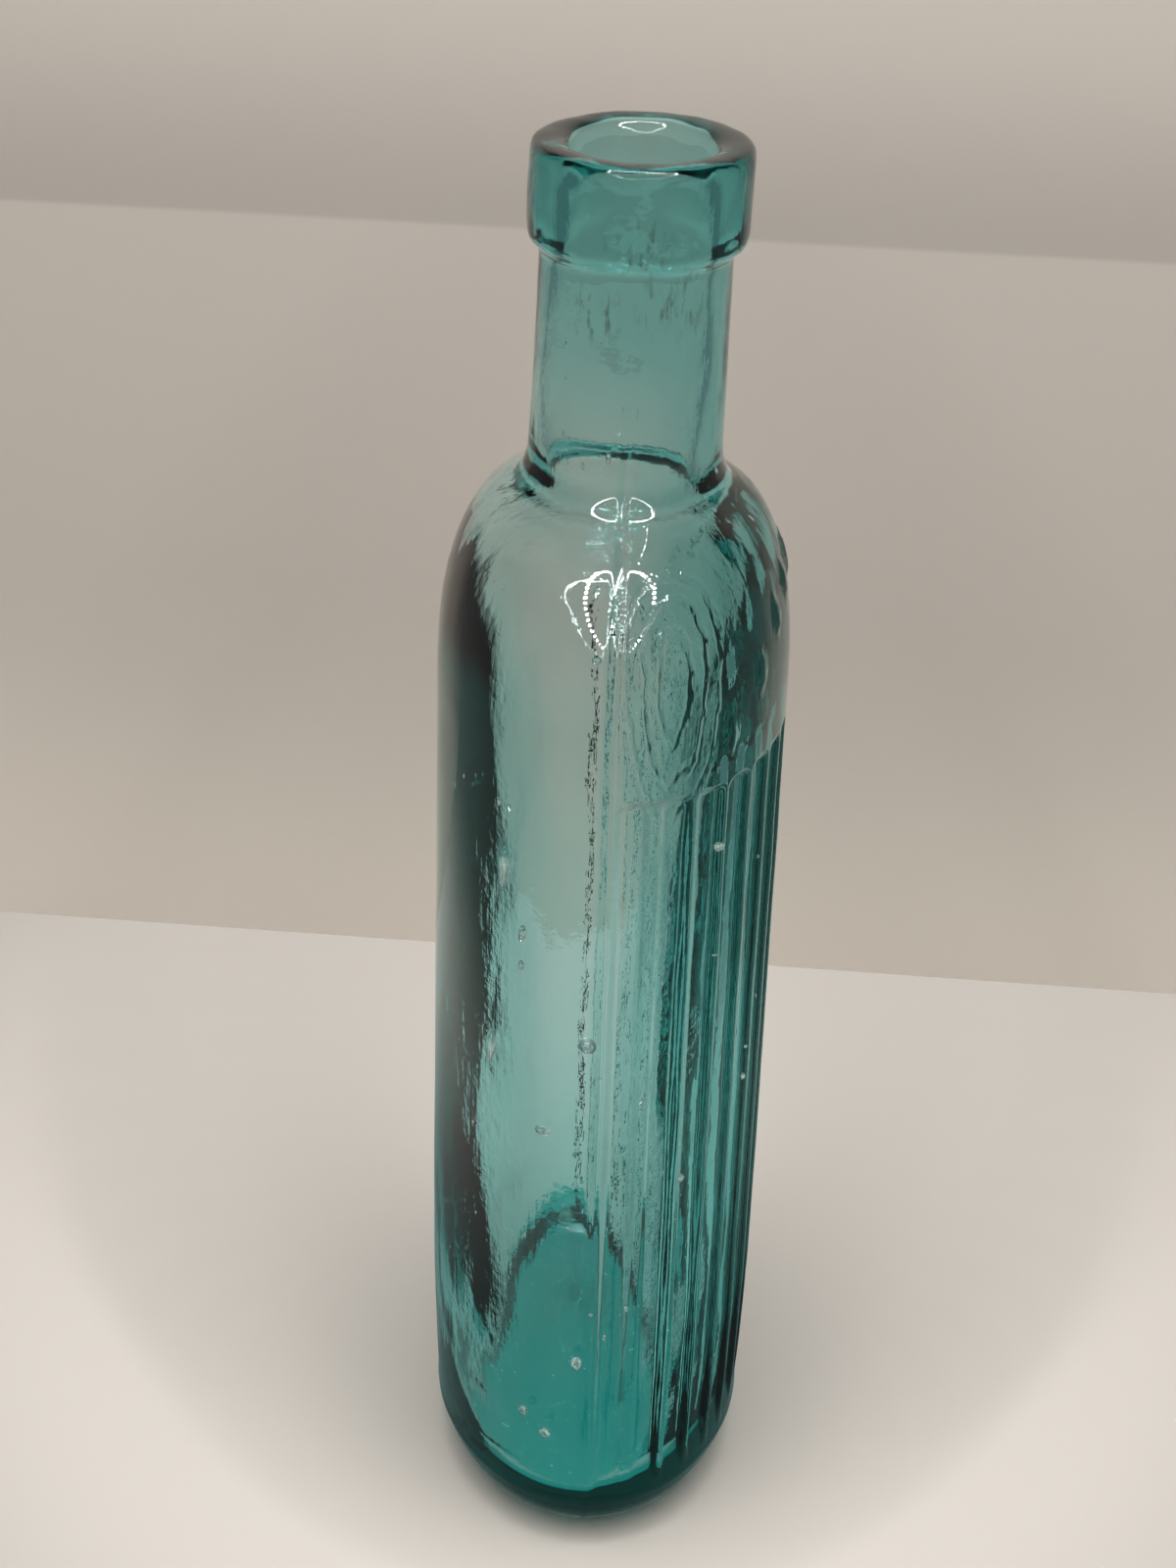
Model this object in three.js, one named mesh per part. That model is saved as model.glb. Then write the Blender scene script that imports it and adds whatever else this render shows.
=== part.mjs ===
// Poison bottle: an oval mould-blown glass body with upright flutes down its front half, and a collar
// of glass laid on round its mouth. Millimetres, +Z up. The origin is the middle of the resting face,
// and the fluted front looks along -Y.
import * as THREE from 'three';

// Body
const BODY_WIDTH = 67; // between the two narrow sides, along X
const BODY_DEPTH = 47.6; // front to back, along Y
const BODY_HEIGHT = 129; // resting face to the start of the shoulder
const BODY_WALL = 3.2;
const BASE_THICKNESS = 7;
const HEEL_RADIUS = 8;
const INNER_HEEL_RADIUS = 6;
const HEEL_TAPER = 1.4; // how far the wall draws in at its foot
const HEEL_TAPER_HEIGHT = 41;
const RESTING_RING_WIDTH = 5;
const BASE_RECESS = 1.5; // depth of the hollow inside the resting ring
const RECESS_SLOPE = 1.5;

// Shoulder and neck
const SHOULDER_RISE = 25.5;
const SHOULDER_FULLNESS = 2.25; // 2 is a quarter ellipse, and more is squarer
const SHOULDER_WALL = 3;
const NECK_LENGTH = 32.5; // foot of the neck to the underside of the lip
const NECK_FOOT_DIAMETER = 25.6;
const NECK_TOP_DIAMETER = 24.6;
const BORE_DIAMETER = 17.4;
const NECK_LEAN = THREE.MathUtils.degToRad(1.1); // the hand-made neck leans to the front

// Lip
const LIP_DIAMETER = 28.4;
const LIP_HEIGHT = 13;
const LIP_TOP_RADIUS = 0.8;
const LIP_FOOT_RADIUS = 1.7;
const MOUTH_RADIUS = 0.6;

// Flutes
const FLUTE_COUNT = 16;
const FLUTE_DEPTH = 0.6;
const FLUTE_HEAD_GAP = 5; // plain wall between the flutes' heads and the shoulder
const FLUTE_END_LENGTH = 2; // a flute rises to the wall over this length at its head and foot
const LAND_WIDTH = 1.4; // flat strip between two flutes
const FLUTE_SIDE_SHARE = 0.25; // part of a flute's width that slopes, on each side

// Facets
const BACK_SEGMENTS = 32;
const LIP_SEGMENTS = 56;
const ARC_STEPS = 4;
const LIP_ARC_STEPS = 2;
const SHOULDER_STEPS = 8;
const TAPER_STEPS = 3;

const halfWidth = BODY_WIDTH / 2;
const halfDepth = BODY_DEPTH / 2;
const boreRadius = BORE_DIAMETER / 2;
const neckFoot = BODY_HEIGHT + SHOULDER_RISE;
const neckTop = neckFoot + NECK_LENGTH;
const lipTop = neckTop + LIP_HEIGHT;
const fluteTop = BODY_HEIGHT - FLUTE_HEAD_GAP;

const bodyGlass = new THREE.MeshStandardMaterial({
  color: 0x7da096, roughness: 0.06, metalness: 0, transparent: true, opacity: 0.6,
});
const lipGlass = new THREE.MeshStandardMaterial({
  color: 0x4b827a, roughness: 0.06, metalness: 0, transparent: true, opacity: 0.7,
});

// Sideways shift of the leaning neck. It grows from nothing at the start of the shoulder.
function leanAt(height) {
  const above = Math.max(0, height - BODY_HEIGHT);
  const blend = THREE.MathUtils.smoothstep(above, 0, SHOULDER_RISE);
  return -Math.tan(NECK_LEAN) * above * blend;
}

// How far the outer wall is drawn in, close to the heel.
function taperAt(height) {
  const share = Math.max(0, 1 - height / HEEL_TAPER_HEIGHT);
  return HEEL_TAPER * share * share;
}

// One level of the body: an oval with its half sizes, its height and its share of the flutes' depth.
function station(width, depth, height, fluted = 0) {
  return { width, depth, height, fluted };
}

// An oval level set in from the body's full outline.
function inset(amount, height, fluted = 0) {
  return station(halfWidth - amount, halfDepth - amount, height, fluted);
}

// Levels that round from an oval wall to a round neck, from the wall upwards.
function shoulder(wall, roundRadius, footHeight, rise) {
  const levels = [];
  for (let step = 0; step <= SHOULDER_STEPS; step += 1) {
    const angle = (step / SHOULDER_STEPS) * (Math.PI / 2);
    const spread = Math.cos(angle) ** (2 / SHOULDER_FULLNESS);
    const climb = Math.sin(angle) ** (2 / SHOULDER_FULLNESS);
    const width = roundRadius + (halfWidth - wall - roundRadius) * spread;
    const depth = roundRadius + (halfDepth - wall - roundRadius) * spread;
    levels.push(station(width, depth, footHeight + rise * climb));
  }
  return levels;
}

// Levels of a rounded corner between a flat bottom and a wall, from the bottom upwards.
function roundedCorner(wall, bottomHeight, radius) {
  const levels = [];
  for (let step = 0; step <= ARC_STEPS; step += 1) {
    const angle = (step / ARC_STEPS) * (Math.PI / 2);
    const height = bottomHeight + radius * (1 - Math.cos(angle));
    const drawnIn = wall + radius * (1 - Math.sin(angle)) + taperAt(height);
    levels.push(inset(drawnIn, height));
  }
  return levels;
}

// Levels of a drawn-in wall above a rounded corner, the corner's own level left out.
function taperedWall(wall, cornerTop, fluted) {
  const levels = [];
  for (let step = 1; step <= TAPER_STEPS; step += 1) {
    const height = THREE.MathUtils.lerp(cornerTop, HEEL_TAPER_HEIGHT, step / TAPER_STEPS);
    levels.push(inset(wall + taperAt(height), height, fluted));
  }
  return levels;
}

// All levels of the body, from the middle of its underside, up the outside and down the inside.
function bodyLevels() {
  const heel = roundedCorner(0, 0, HEEL_RADIUS);
  const ringEdge = heel[0];
  const recessEdge = station(ringEdge.width - RESTING_RING_WIDTH, ringEdge.depth - RESTING_RING_WIDTH, 0);
  const recessFloor = station(recessEdge.width - RECESS_SLOPE, recessEdge.depth - RECESS_SLOPE, BASE_RECESS);
  const fluteFoot = HEEL_RADIUS + FLUTE_END_LENGTH;
  const outside = [
    station(0, 0, BASE_RECESS),
    recessFloor,
    recessEdge,
    ...heel,
    inset(taperAt(fluteFoot), fluteFoot, 1),
    ...taperedWall(0, fluteFoot, 1),
    inset(0, fluteTop - FLUTE_END_LENGTH, 1),
    inset(0, fluteTop),
    ...shoulder(0, NECK_FOOT_DIAMETER / 2, BODY_HEIGHT, SHOULDER_RISE),
    station(NECK_TOP_DIAMETER / 2, NECK_TOP_DIAMETER / 2, neckTop),
  ];
  const innerCornerTop = BASE_THICKNESS + INNER_HEEL_RADIUS;
  const inside = [
    station(0, 0, BASE_THICKNESS),
    ...roundedCorner(BODY_WALL, BASE_THICKNESS, INNER_HEEL_RADIUS),
    ...taperedWall(BODY_WALL, innerCornerTop, 0),
    ...shoulder(BODY_WALL, boreRadius, BODY_HEIGHT, SHOULDER_RISE - SHOULDER_WALL),
    station(boreRadius, boreRadius, neckTop),
  ];
  return [...outside, ...inside.reverse()];
}

// Where the body's upright facet edges stand: the oval's angle and the share of the flutes' depth there.
// The back is plain, and the front holds equal flutes measured along the oval's outline.
function bodyEdges() {
  const edges = [];
  for (let step = 0; step < BACK_SEGMENTS; step += 1) {
    edges.push({ angle: (step / BACK_SEGMENTS) * Math.PI, fluted: 0 });
  }
  const front = new THREE.EllipseCurve(0, 0, halfWidth, halfDepth, Math.PI, 2 * Math.PI);
  const frontLength = front.getLength();
  const pitch = frontLength / FLUTE_COUNT;
  const side = (pitch - LAND_WIDTH) * FLUTE_SIDE_SHARE;
  const edgeAt = (arc, fluted) => {
    const share = front.getUtoTmapping(arc / frontLength);
    return { angle: Math.PI + share * Math.PI, fluted };
  };
  edges.push({ angle: Math.PI, fluted: 0 });
  for (let flute = 0; flute < FLUTE_COUNT; flute += 1) {
    const start = flute * pitch + LAND_WIDTH / 2;
    const end = (flute + 1) * pitch - LAND_WIDTH / 2;
    edges.push(edgeAt(start, 0), edgeAt(start + side, 1), edgeAt(end - side, 1), edgeAt(end, 0));
  }
  edges.push({ angle: 2 * Math.PI, fluted: 0 });
  return edges;
}

// A point of the body's skin, with the flutes sunk square to the oval and the neck leaning.
function bodyPoint(level, edge) {
  const cos = Math.cos(edge.angle);
  const sin = Math.sin(edge.angle);
  const point = new THREE.Vector3(level.width * cos, level.depth * sin, level.height);
  const outward = new THREE.Vector3(level.depth * cos, level.width * sin, 0).normalize();
  point.addScaledVector(outward, -FLUTE_DEPTH * level.fluted * edge.fluted);
  point.y += leanAt(level.height);
  return point;
}

// The body is a turned profile whose rings are reshaped into ovals with flutes.
function makeBody() {
  const levels = bodyLevels();
  const edges = bodyEdges();
  const profile = levels.map((level) => new THREE.Vector2(level.depth, level.height));
  const geometry = new THREE.LatheGeometry(profile, edges.length - 1);
  const position = geometry.getAttribute('position');
  edges.forEach((edge, edgeIndex) => {
    levels.forEach((level, levelIndex) => {
      const point = bodyPoint(level, edge);
      position.setXYZ(edgeIndex * levels.length + levelIndex, point.x, point.y, point.z);
    });
  });
  geometry.computeVertexNormals();
  const mesh = new THREE.Mesh(geometry, bodyGlass);
  mesh.name = 'blown_body';
  return mesh;
}

// The lip's section, anticlockwise from the bore's lower edge and closed on itself.
function lipSection() {
  const radius = LIP_DIAMETER / 2;
  const section = new THREE.Path();
  section.moveTo(boreRadius, neckTop);
  section.lineTo(radius - LIP_FOOT_RADIUS, neckTop);
  section.absarc(radius - LIP_FOOT_RADIUS, neckTop + LIP_FOOT_RADIUS, LIP_FOOT_RADIUS, -Math.PI / 2, 0);
  section.absarc(radius - LIP_TOP_RADIUS, lipTop - LIP_TOP_RADIUS, LIP_TOP_RADIUS, 0, Math.PI / 2);
  section.absarc(boreRadius + MOUTH_RADIUS, lipTop - MOUTH_RADIUS, MOUTH_RADIUS, Math.PI / 2, Math.PI);
  section.lineTo(boreRadius, neckTop);
  return section.getPoints(LIP_ARC_STEPS);
}

// The lip is a turned ring that sits on the end of the neck and leans with it.
function makeLip() {
  const geometry = new THREE.LatheGeometry(lipSection(), LIP_SEGMENTS);
  geometry.rotateX(Math.PI / 2);
  const position = geometry.getAttribute('position');
  for (let index = 0; index < position.count; index += 1) {
    position.setY(index, position.getY(index) + leanAt(position.getZ(index)));
  }
  geometry.computeVertexNormals();
  const mesh = new THREE.Mesh(geometry, lipGlass);
  mesh.name = 'applied_lip';
  return mesh;
}

const bottle = new THREE.Group();
bottle.name = 'poison_bottle';
bottle.add(makeBody(), makeLip());

export default bottle;
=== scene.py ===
"""Poison bottle: a mouth-blown oval bottle of aqua glass, fluted down its front half, on a pale sheet.

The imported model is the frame. The whole bottle is one continuous piece of glass here, because the lip was
laid on hot and melted into the neck, so light meets no surface between them.
"""
import logging
import math
from dataclasses import dataclass, field
from enum import Enum

import bpy
import numpy as np
from mathutils import Matrix, Vector


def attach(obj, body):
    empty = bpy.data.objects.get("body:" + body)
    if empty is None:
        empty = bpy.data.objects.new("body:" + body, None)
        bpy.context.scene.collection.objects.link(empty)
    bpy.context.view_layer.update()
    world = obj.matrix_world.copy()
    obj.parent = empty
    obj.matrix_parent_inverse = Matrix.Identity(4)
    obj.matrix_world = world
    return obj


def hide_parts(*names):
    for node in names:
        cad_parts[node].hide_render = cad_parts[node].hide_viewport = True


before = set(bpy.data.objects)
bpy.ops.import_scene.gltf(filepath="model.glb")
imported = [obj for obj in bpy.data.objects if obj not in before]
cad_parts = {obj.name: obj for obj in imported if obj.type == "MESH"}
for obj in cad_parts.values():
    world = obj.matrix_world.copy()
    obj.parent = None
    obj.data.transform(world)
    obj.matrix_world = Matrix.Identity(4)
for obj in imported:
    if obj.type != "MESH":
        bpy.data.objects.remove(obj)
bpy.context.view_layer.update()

MM = 0.001
INSIDE = "inside_skin"
LIGHT_BOUNCES = 32
LOG = logging.getLogger("poison_bottle")


class Skin(Enum):
    """The surfaces of the glass that take their own unevenness."""

    OUTSIDE = "outside"
    LIP = "lip"
    BORE = "bore"
    CREASE = "crease"
    INSIDE = "inside"
    FRONT = "front"
    FLOOR = "floor"


@dataclass(frozen=True)
class Level:
    """One ring of the cage: half sizes, height, skin, shift along x and y, and tilt. Millimetres."""

    width: float
    depth: float
    height: float
    skin: Skin
    shift: tuple[float, float] = (0.0, 0.0)
    tilt: float = 0.0


def linear(hex_colour: str) -> tuple[float, float, float, float]:
    """Turns an sRGB hex colour into linear RGBA.

    Args:
        hex_colour: six hex digits after a hash sign.

    Returns:
        Red, green, blue and an alpha of 1.
    """
    parts = [int(hex_colour[start:start + 2], 16) / 255 for start in (1, 3, 5)]
    red, green, blue = [p / 12.92 if p <= 0.04045 else ((p + 0.055) / 1.055) ** 2.4 for p in parts]
    return red, green, blue, 1.0


def add_node(
    tree: bpy.types.NodeTree,
    kind: str,
    settings: dict[str | int, object] | None = None,
    links: dict[str | int, bpy.types.NodeSocket] | None = None,
) -> bpy.types.Node:
    """Adds one node to a tree.

    Args:
        tree: the material's or the world's node tree.
        kind: the node's type.
        settings: values for the node's own properties or, where it has none of that name, its inputs.
        links: the output that feeds each named or numbered input.

    Returns:
        The new node.
    """
    node = tree.nodes.new(kind)
    for key, value in (settings or {}).items():
        if isinstance(key, str) and hasattr(node, key):
            setattr(node, key, value)
        else:
            node.inputs[key].default_value = value
    for key, output in (links or {}).items():
        tree.links.new(output, node.inputs[key])
    return node


def smooth(value: np.ndarray, low: float, high: float) -> np.ndarray:
    """Rises smoothly from 0 at low to 1 at high, for each value."""
    share = np.clip((value - low) / (high - low), 0, 1)
    return share * share * (3 - 2 * share)


def make_active(piece: bpy.types.Object) -> None:
    """Leaves one object selected and active.

    Args:
        piece: the object.
    """
    bpy.ops.object.select_all(action="DESELECT")
    piece.select_set(True)
    bpy.context.view_layer.objects.active = piece


def finish_with(piece: bpy.types.Object, kind: str, **settings: object) -> None:
    """Adds a modifier to a piece and applies it.

    Args:
        piece: the object to change.
        kind: the modifier's type.
        settings: the modifier's own properties.
    """
    make_active(piece)
    modifier = piece.modifiers.new(kind.lower(), kind)
    for key, value in settings.items():
        setattr(modifier, key, value)
    bpy.ops.object.modifier_apply(modifier=modifier.name)


@dataclass(frozen=True)
class Oval:
    """The body's outline, measured along its skin from the seam at -X towards the fluted front."""

    width: float
    depth: float
    samples: int = 4000

    def table(self) -> tuple[np.ndarray, np.ndarray]:
        """Measures half of the outline in small steps.

        Returns:
            The turn from the seam at each step, and the length of skin up to it.
        """
        turn = np.linspace(0, math.pi, self.samples)
        speed = np.hypot(self.width * np.sin(turn), self.depth * np.cos(turn))
        steps = (speed[1:] + speed[:-1]) / 2 * np.diff(turn)
        return turn, np.concatenate([[0], np.cumsum(steps)])

    def half_length(self) -> float:
        """Length of skin from one seam to the other."""
        return float(self.table()[1][-1])

    def columns(self, front: int, back: int) -> np.ndarray:
        """Points evenly spaced along the front half and along the back half.

        Args:
            front: how many on the fluted front.
            back: how many on the plain back.

        Returns:
            One row of x and y for each point.
        """
        turn, arc = self.table()
        front_arc = np.arange(front) / front * arc[-1]
        back_arc = (1 - np.arange(back) / back) * arc[-1]
        front_turn = np.interp(front_arc, arc, turn)
        back_turn = -np.interp(back_arc, arc, turn)
        turns = np.concatenate([front_turn, back_turn])
        return np.column_stack([-self.width * np.cos(turns), -self.depth * np.sin(turns)])

    def arc_of(self, across: np.ndarray, along: np.ndarray) -> np.ndarray:
        """Measures along the skin from the seam.

        Args:
            across: x of each point.
            along: y of each point.

        Returns:
            The length of skin to each point, negative on the back.
        """
        turn, arc = self.table()
        turns = np.arctan2(-along / self.depth, -across / self.width)
        return np.sign(turns) * np.interp(np.abs(turns), turn, arc)


class RingCage:
    """A closed cage pulled ring by ring out of one primitive circle."""

    def __init__(self, name: str, outline: np.ndarray, body: "BlownBody") -> None:
        """Keeps what all the rings share.

        Args:
            name: the piece's name.
            outline: x and y of each column of the cage, on the body's full outline.
            body: the body, which says how far each height leans.
        """
        self.name = name
        self.outline = outline
        self.body = body
        self.cage: bpy.types.Object | None = None
        self.levels: list[Level] = []

    def start(self, level: Level) -> None:
        """Adds the circle and slides its corners to their places on the first ring.

        Args:
            level: the first ring.
        """
        bpy.ops.object.select_all(action="DESELECT")
        bpy.ops.mesh.primitive_circle_add(vertices=len(self.outline), radius=1, fill_type="NOTHING")
        self.cage = bpy.context.object
        self.cage.name = self.name
        self.cage.data.name = self.name
        ring = np.zeros((len(self.outline), 3))
        ring[:, 0] = self.outline[:, 0] / self.body.half_width * level.width * MM
        ring[:, 1] = self.outline[:, 1] / self.body.half_depth * level.depth * MM
        ring[:, 2] = level.height * MM
        self.cage.data.vertices.foreach_set("co", ring.ravel())
        bpy.ops.object.mode_set(mode="EDIT")
        bpy.ops.mesh.select_mode(type="EDGE")
        bpy.ops.mesh.select_all(action="SELECT")
        self.levels.append(level)

    def middle_of(self, level: Level) -> Vector:
        """Middle of a ring, in metres."""
        across, along = level.shift
        return Vector((across, self.body.lean_at(level.height) + along, level.height)) * MM

    def pull(self, level: Level) -> None:
        """Extrudes the open edge to the next ring and sizes it.

        Args:
            level: the ring to make.
        """
        last = self.levels[-1]
        middle = self.middle_of(level)
        move = middle - self.middle_of(last)
        bpy.ops.mesh.extrude_edges_move(TRANSFORM_OT_translate={"value": move})
        if last.tilt:
            bpy.ops.transform.rotate(value=-last.tilt, orient_axis="Y", center_override=middle)
        size = (level.width / last.width, level.depth / last.depth, 1)
        bpy.ops.transform.resize(value=size, center_override=middle)
        if level.tilt:
            bpy.ops.transform.rotate(value=level.tilt, orient_axis="Y", center_override=middle)
        self.levels.append(level)

    def close(self) -> bpy.types.Object:
        """Groups the skins, rounds the cage and caps its two ends.

        Returns:
            The closed glass.
        """
        bpy.ops.object.mode_set(mode="OBJECT")
        count = len(self.outline)
        for skin in Skin:
            group = self.cage.vertex_groups.new(name=skin.value)
            for index, level in enumerate(self.levels):
                if level.skin is skin:
                    group.add(list(range(index * count, (index + 1) * count)), 1.0, "REPLACE")
        finish_with(self.cage, "SUBSURF", levels=1, render_levels=1)
        bpy.ops.object.mode_set(mode="EDIT")
        bpy.ops.mesh.select_all(action="SELECT")
        bpy.ops.mesh.fill_holes(sides=0)
        bpy.ops.mesh.select_mode(type="FACE")
        bpy.ops.mesh.select_face_by_sides(number=4, type="GREATER", extend=False)
        bpy.ops.mesh.poke()
        bpy.ops.mesh.select_all(action="SELECT")
        bpy.ops.mesh.normals_make_consistent(inside=False)
        bpy.ops.object.mode_set(mode="OBJECT")
        bpy.ops.object.shade_smooth()
        return self.cage


@dataclass
class BlownBody:
    """The oval body, its shoulder and its neck. Sizes are in millimetres."""

    half_width: float = 33.5
    half_depth: float = 23.8
    wall_height: float = 129.0
    neck_top: float = 187.0
    heel_radius: float = 8.0
    heel_taper: float = 1.4
    taper_height: float = 41.0
    ring_width: float = 5.0
    recess: float = 0.45
    shoulder_rise: float = 25.5
    # Height, half width, half depth and shift to the back of the cavity. It was blown rounder than the
    # mould, so the glass is thin on the narrow sides, and thick on the flats and the base.
    cavity: tuple[tuple[float, float, float, float], ...] = (
        (195, 8.0, 8.7, 0.0), (190, 7.7, 8.7, 0.0), (185, 7.7, 8.75, 0.1), (179, 7.7, 8.95, 0.25),
        (175, 7.9, 9.2, 0.4), (171, 8.4, 9.5, 0.5), (167, 9.4, 9.7, 0.6), (163, 10.4, 9.85, 0.7),
        (160, 10.5, 10.0, 0.55), (158, 10.6, 10.1, 0.4), (156.7, 10.7, 10.15, 0.3),
        (155.6, 10.8, 10.25, 0.2), (154.8, 11.0, 10.4, 0.2), (154.2, 11.5, 10.7, 0.2),
        (153.6, 12.6, 11.3, 0.3), (153.0, 14.8, 12.4, 0.5), (152.2, 17.8, 13.8, 1.0),
        (151.1, 21.2, 15.2, 1.6), (149.6, 24.2, 16.5, 2.0), (147, 26.8, 18.0, 1.8),
        (143.4, 29.1, 19.0, 1.5), (139.2, 30.8, 19.3, 1.4), (134.6, 31.7, 19.2, 1.3),
        (129, 32.0, 18.8, 1.2), (120, 31.9, 18.6, 1.2), (108, 31.6, 18.4, 1.3), (94, 31.3, 18.4, 1.3),
        (80, 31.0, 18.4, 1.3), (66, 30.8, 18.4, 1.3), (52, 30.5, 18.4, 1.2), (38.5, 29.9, 18.4, 1.1),
    )
    # Height, half width, half depth, shift to the near side and tilt of the cavity's foot. The base set
    # thin at the near side and thick at the far one.
    cavity_foot: tuple[tuple[float, float, float, float, float], ...] = (
        (31, 29.5, 18.4, 0.0, 0.02), (26, 29.0, 18.4, 0.1, 0.05), (21.8, 28.6, 18.3, 0.2, 0.08),
        (18.4, 28.3, 18.2, 0.3, 0.11), (15.7, 28.0, 18.0, 0.5, 0.14), (13.65, 27.5, 17.6, 0.9, 0.165),
        (12.3, 26.6, 16.9, 1.3, 0.178), (11.38, 25.2, 15.7, 1.5, 0.18), (10.83, 22.8, 13.8, 1.5, 0.18),
        (10.62, 18.5, 10.9, 1.3, 0.18), (10.6, 12.0, 7.0, 0.9, 0.18), (10.68, 5.5, 3.2, 0.4, 0.18),
        (10.73, 1.0, 0.6, 0.1, 0.18),
    )
    foot_shift: float = 1.0
    floor_top: float = 13.0
    bore_end: float = 164.0
    crease_end: float = 150.0
    fullness: float = 2.25
    neck_foot_radius: float = 12.8
    fillet: float = 5.5
    neck_top_radius: float = 12.3
    lean: float = math.radians(1.1)

    # Shares of the foot's half width and half depth, and height over the recess, in the underside's middle.
    underside: tuple[tuple[float, float, float], ...] = ((0.1, 0.06, 0.1), (0.35, 0.18, 0.08))
    # Way in from the resting ring's inner edge, and share of the recess's height there.
    ring_edge: tuple[tuple[float, float], ...] = (
        (5.0, 1.0), (3.2, 0.8), (1.2, 0.45), (-0.8, 0.15), (-2.4, 0.02), (-3.6, 0.0),
    )
    heel_steps: int = 6
    wall_rings: tuple[float, ...] = (
        9, 10, 11, 12, 13, 15, 19, 25, 33, 42, 52, 62, 72, 82, 92, 102, 111, 117, 120, 121.5, 122.5, 123.5,
        124.5, 125.5, 127,
    )
    shoulder_steps: int = 15
    # Share of the fillet's reach that is left, and height over the neck's foot.
    fillet_rings: tuple[tuple[float, float], ...] = (
        (0.79, -0.28), (0.5, 0.34), (0.257, 1.42), (0.094, 2.78), (0.015, 4.15),
    )
    fillet_depth: float = 0.7  # the fillet reaches less to the front and the back
    neck_rings: tuple[float, ...] = (160, 164, 169, 174, 179, 183)

    flutes: int = 16
    flute_depth: float = 0.9
    flute_start: float = 0.4
    faint_land: float = 0.2
    flute_head: float = 124.0
    flute_foot: float = 8.0
    flute_fade: float = 8.0
    flute_corner: float = 1.6
    flute_edge: float = 1.0
    land: float = 0.6
    seam_width: float = 0.42
    seam_height: float = 0.25
    seam_foot: tuple[float, float] = (0.5, 4.0)
    seam_head: tuple[float, float] = (166.0, 176.0)
    base_seam: float = 7.6
    base_seam_width: float = 0.35
    base_seam_height: float = 0.3

    lozenge_arch: float = 145.0
    lozenge_fall: float = 0.0194
    lozenge_count: int = 9
    lozenge_reach: float = 27.5
    lozenge_half_width: float = 1.7
    lozenge_half_height: float = 2.6
    lozenge_relief: float = 0.45
    lozenge_limit: float = 8.0
    lozenge_fullness: float = 1.15
    lozenge_slope: float = 0.45

    def lean_at(self, height: float) -> float:
        """Works out how far the leaning neck has moved.

        Args:
            height: height above the resting face.

        Returns:
            The way along y, less than 0 to the front.
        """
        above = max(0.0, height - self.wall_height)
        share = min(1.0, above / self.shoulder_rise)
        return -math.tan(self.lean) * above * share * share * (3 - 2 * share)

    def taper_at(self, height: float) -> float:
        """How far the wall is drawn in close to the heel."""
        return self.heel_taper * max(0.0, 1 - height / self.taper_height) ** 2

    def wall_ring(self, inset: float, height: float) -> Level:
        """A ring set in from the full outline by an inset and by the taper."""
        inset += self.taper_at(height)
        return Level(self.half_width - inset, self.half_depth - inset, height, Skin.OUTSIDE)

    def shoulder(self) -> list[Level]:
        """Rings that round from the oval wall to the round neck, from the wall upwards.

        Returns:
            The rings.
        """
        radius = self.neck_foot_radius
        width = self.half_width
        depth = self.half_depth
        rise = self.shoulder_rise
        rings = []
        for step in range(self.shoulder_steps + 1):
            angle = step / self.shoulder_steps * math.pi / 2
            spread = math.cos(angle) ** (2 / self.fullness)
            climb = math.sin(angle) ** (2 / self.fullness)
            rings.append(Level(
                radius + (width - radius) * spread,
                radius + (depth - radius) * spread,
                self.wall_height + rise * climb,
                Skin.OUTSIDE,
            ))
        return rings

    def outside(self) -> list[Level]:
        """Rings from the middle of the underside up to the top of the neck.

        Returns:
            The rings.
        """
        drawn_in = self.heel_radius + self.heel_taper
        foot_width = self.half_width - drawn_in
        foot_depth = self.half_depth - drawn_in
        rings = []
        for width, depth, over in self.underside:
            rings.append(Level(width * foot_width, depth * foot_depth, self.recess + over, Skin.OUTSIDE))
        for inset, share in self.ring_edge:
            edge = self.ring_width + inset
            rings.append(Level(foot_width - edge, foot_depth - edge, self.recess * share, Skin.OUTSIDE))
        for step in range(self.heel_steps + 1):
            angle = step / self.heel_steps * math.pi / 2
            height = self.heel_radius * (1 - math.cos(angle))
            rings.append(self.wall_ring(self.heel_radius * (1 - math.sin(angle)), height))
        rings += [self.wall_ring(0.0, height) for height in self.wall_rings]
        rings += [ring for ring in self.shoulder() if ring.width > self.neck_foot_radius + self.fillet]
        neck_foot = self.wall_height + self.shoulder_rise
        for spread, rise in self.fillet_rings:
            width = self.neck_foot_radius + spread * self.fillet
            depth = self.neck_foot_radius + self.fillet_depth * spread * self.fillet
            rings.append(Level(width, depth, neck_foot + rise, Skin.OUTSIDE))
        for height in self.neck_rings:
            share = (height - neck_foot) / (self.neck_top - neck_foot)
            radius = self.neck_foot_radius + (self.neck_top_radius - self.neck_foot_radius) * share
            rings.append(Level(radius, radius, height, Skin.OUTSIDE))
        return rings

    def inside(self) -> list[Level]:
        """Rings from the top of the bore down to the middle of the cavity's floor.

        Returns:
            The rings.
        """
        rings = []
        for height, width, depth, shift in self.cavity:
            skin = Skin.BORE if height > self.bore_end else Skin.CREASE
            if height <= self.crease_end:
                skin = Skin.INSIDE
            rings.append(Level(width, depth, height, skin, (0.0, shift)))
        top_depth = self.cavity_foot[0][2]
        for height, width, depth, shift, tilt in self.cavity_foot:
            skin = Skin.FLOOR if height < self.floor_top else Skin.INSIDE
            along = self.foot_shift * depth / top_depth
            rings.append(Level(width, depth, height, skin, (-shift, along), tilt))
        return rings

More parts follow.
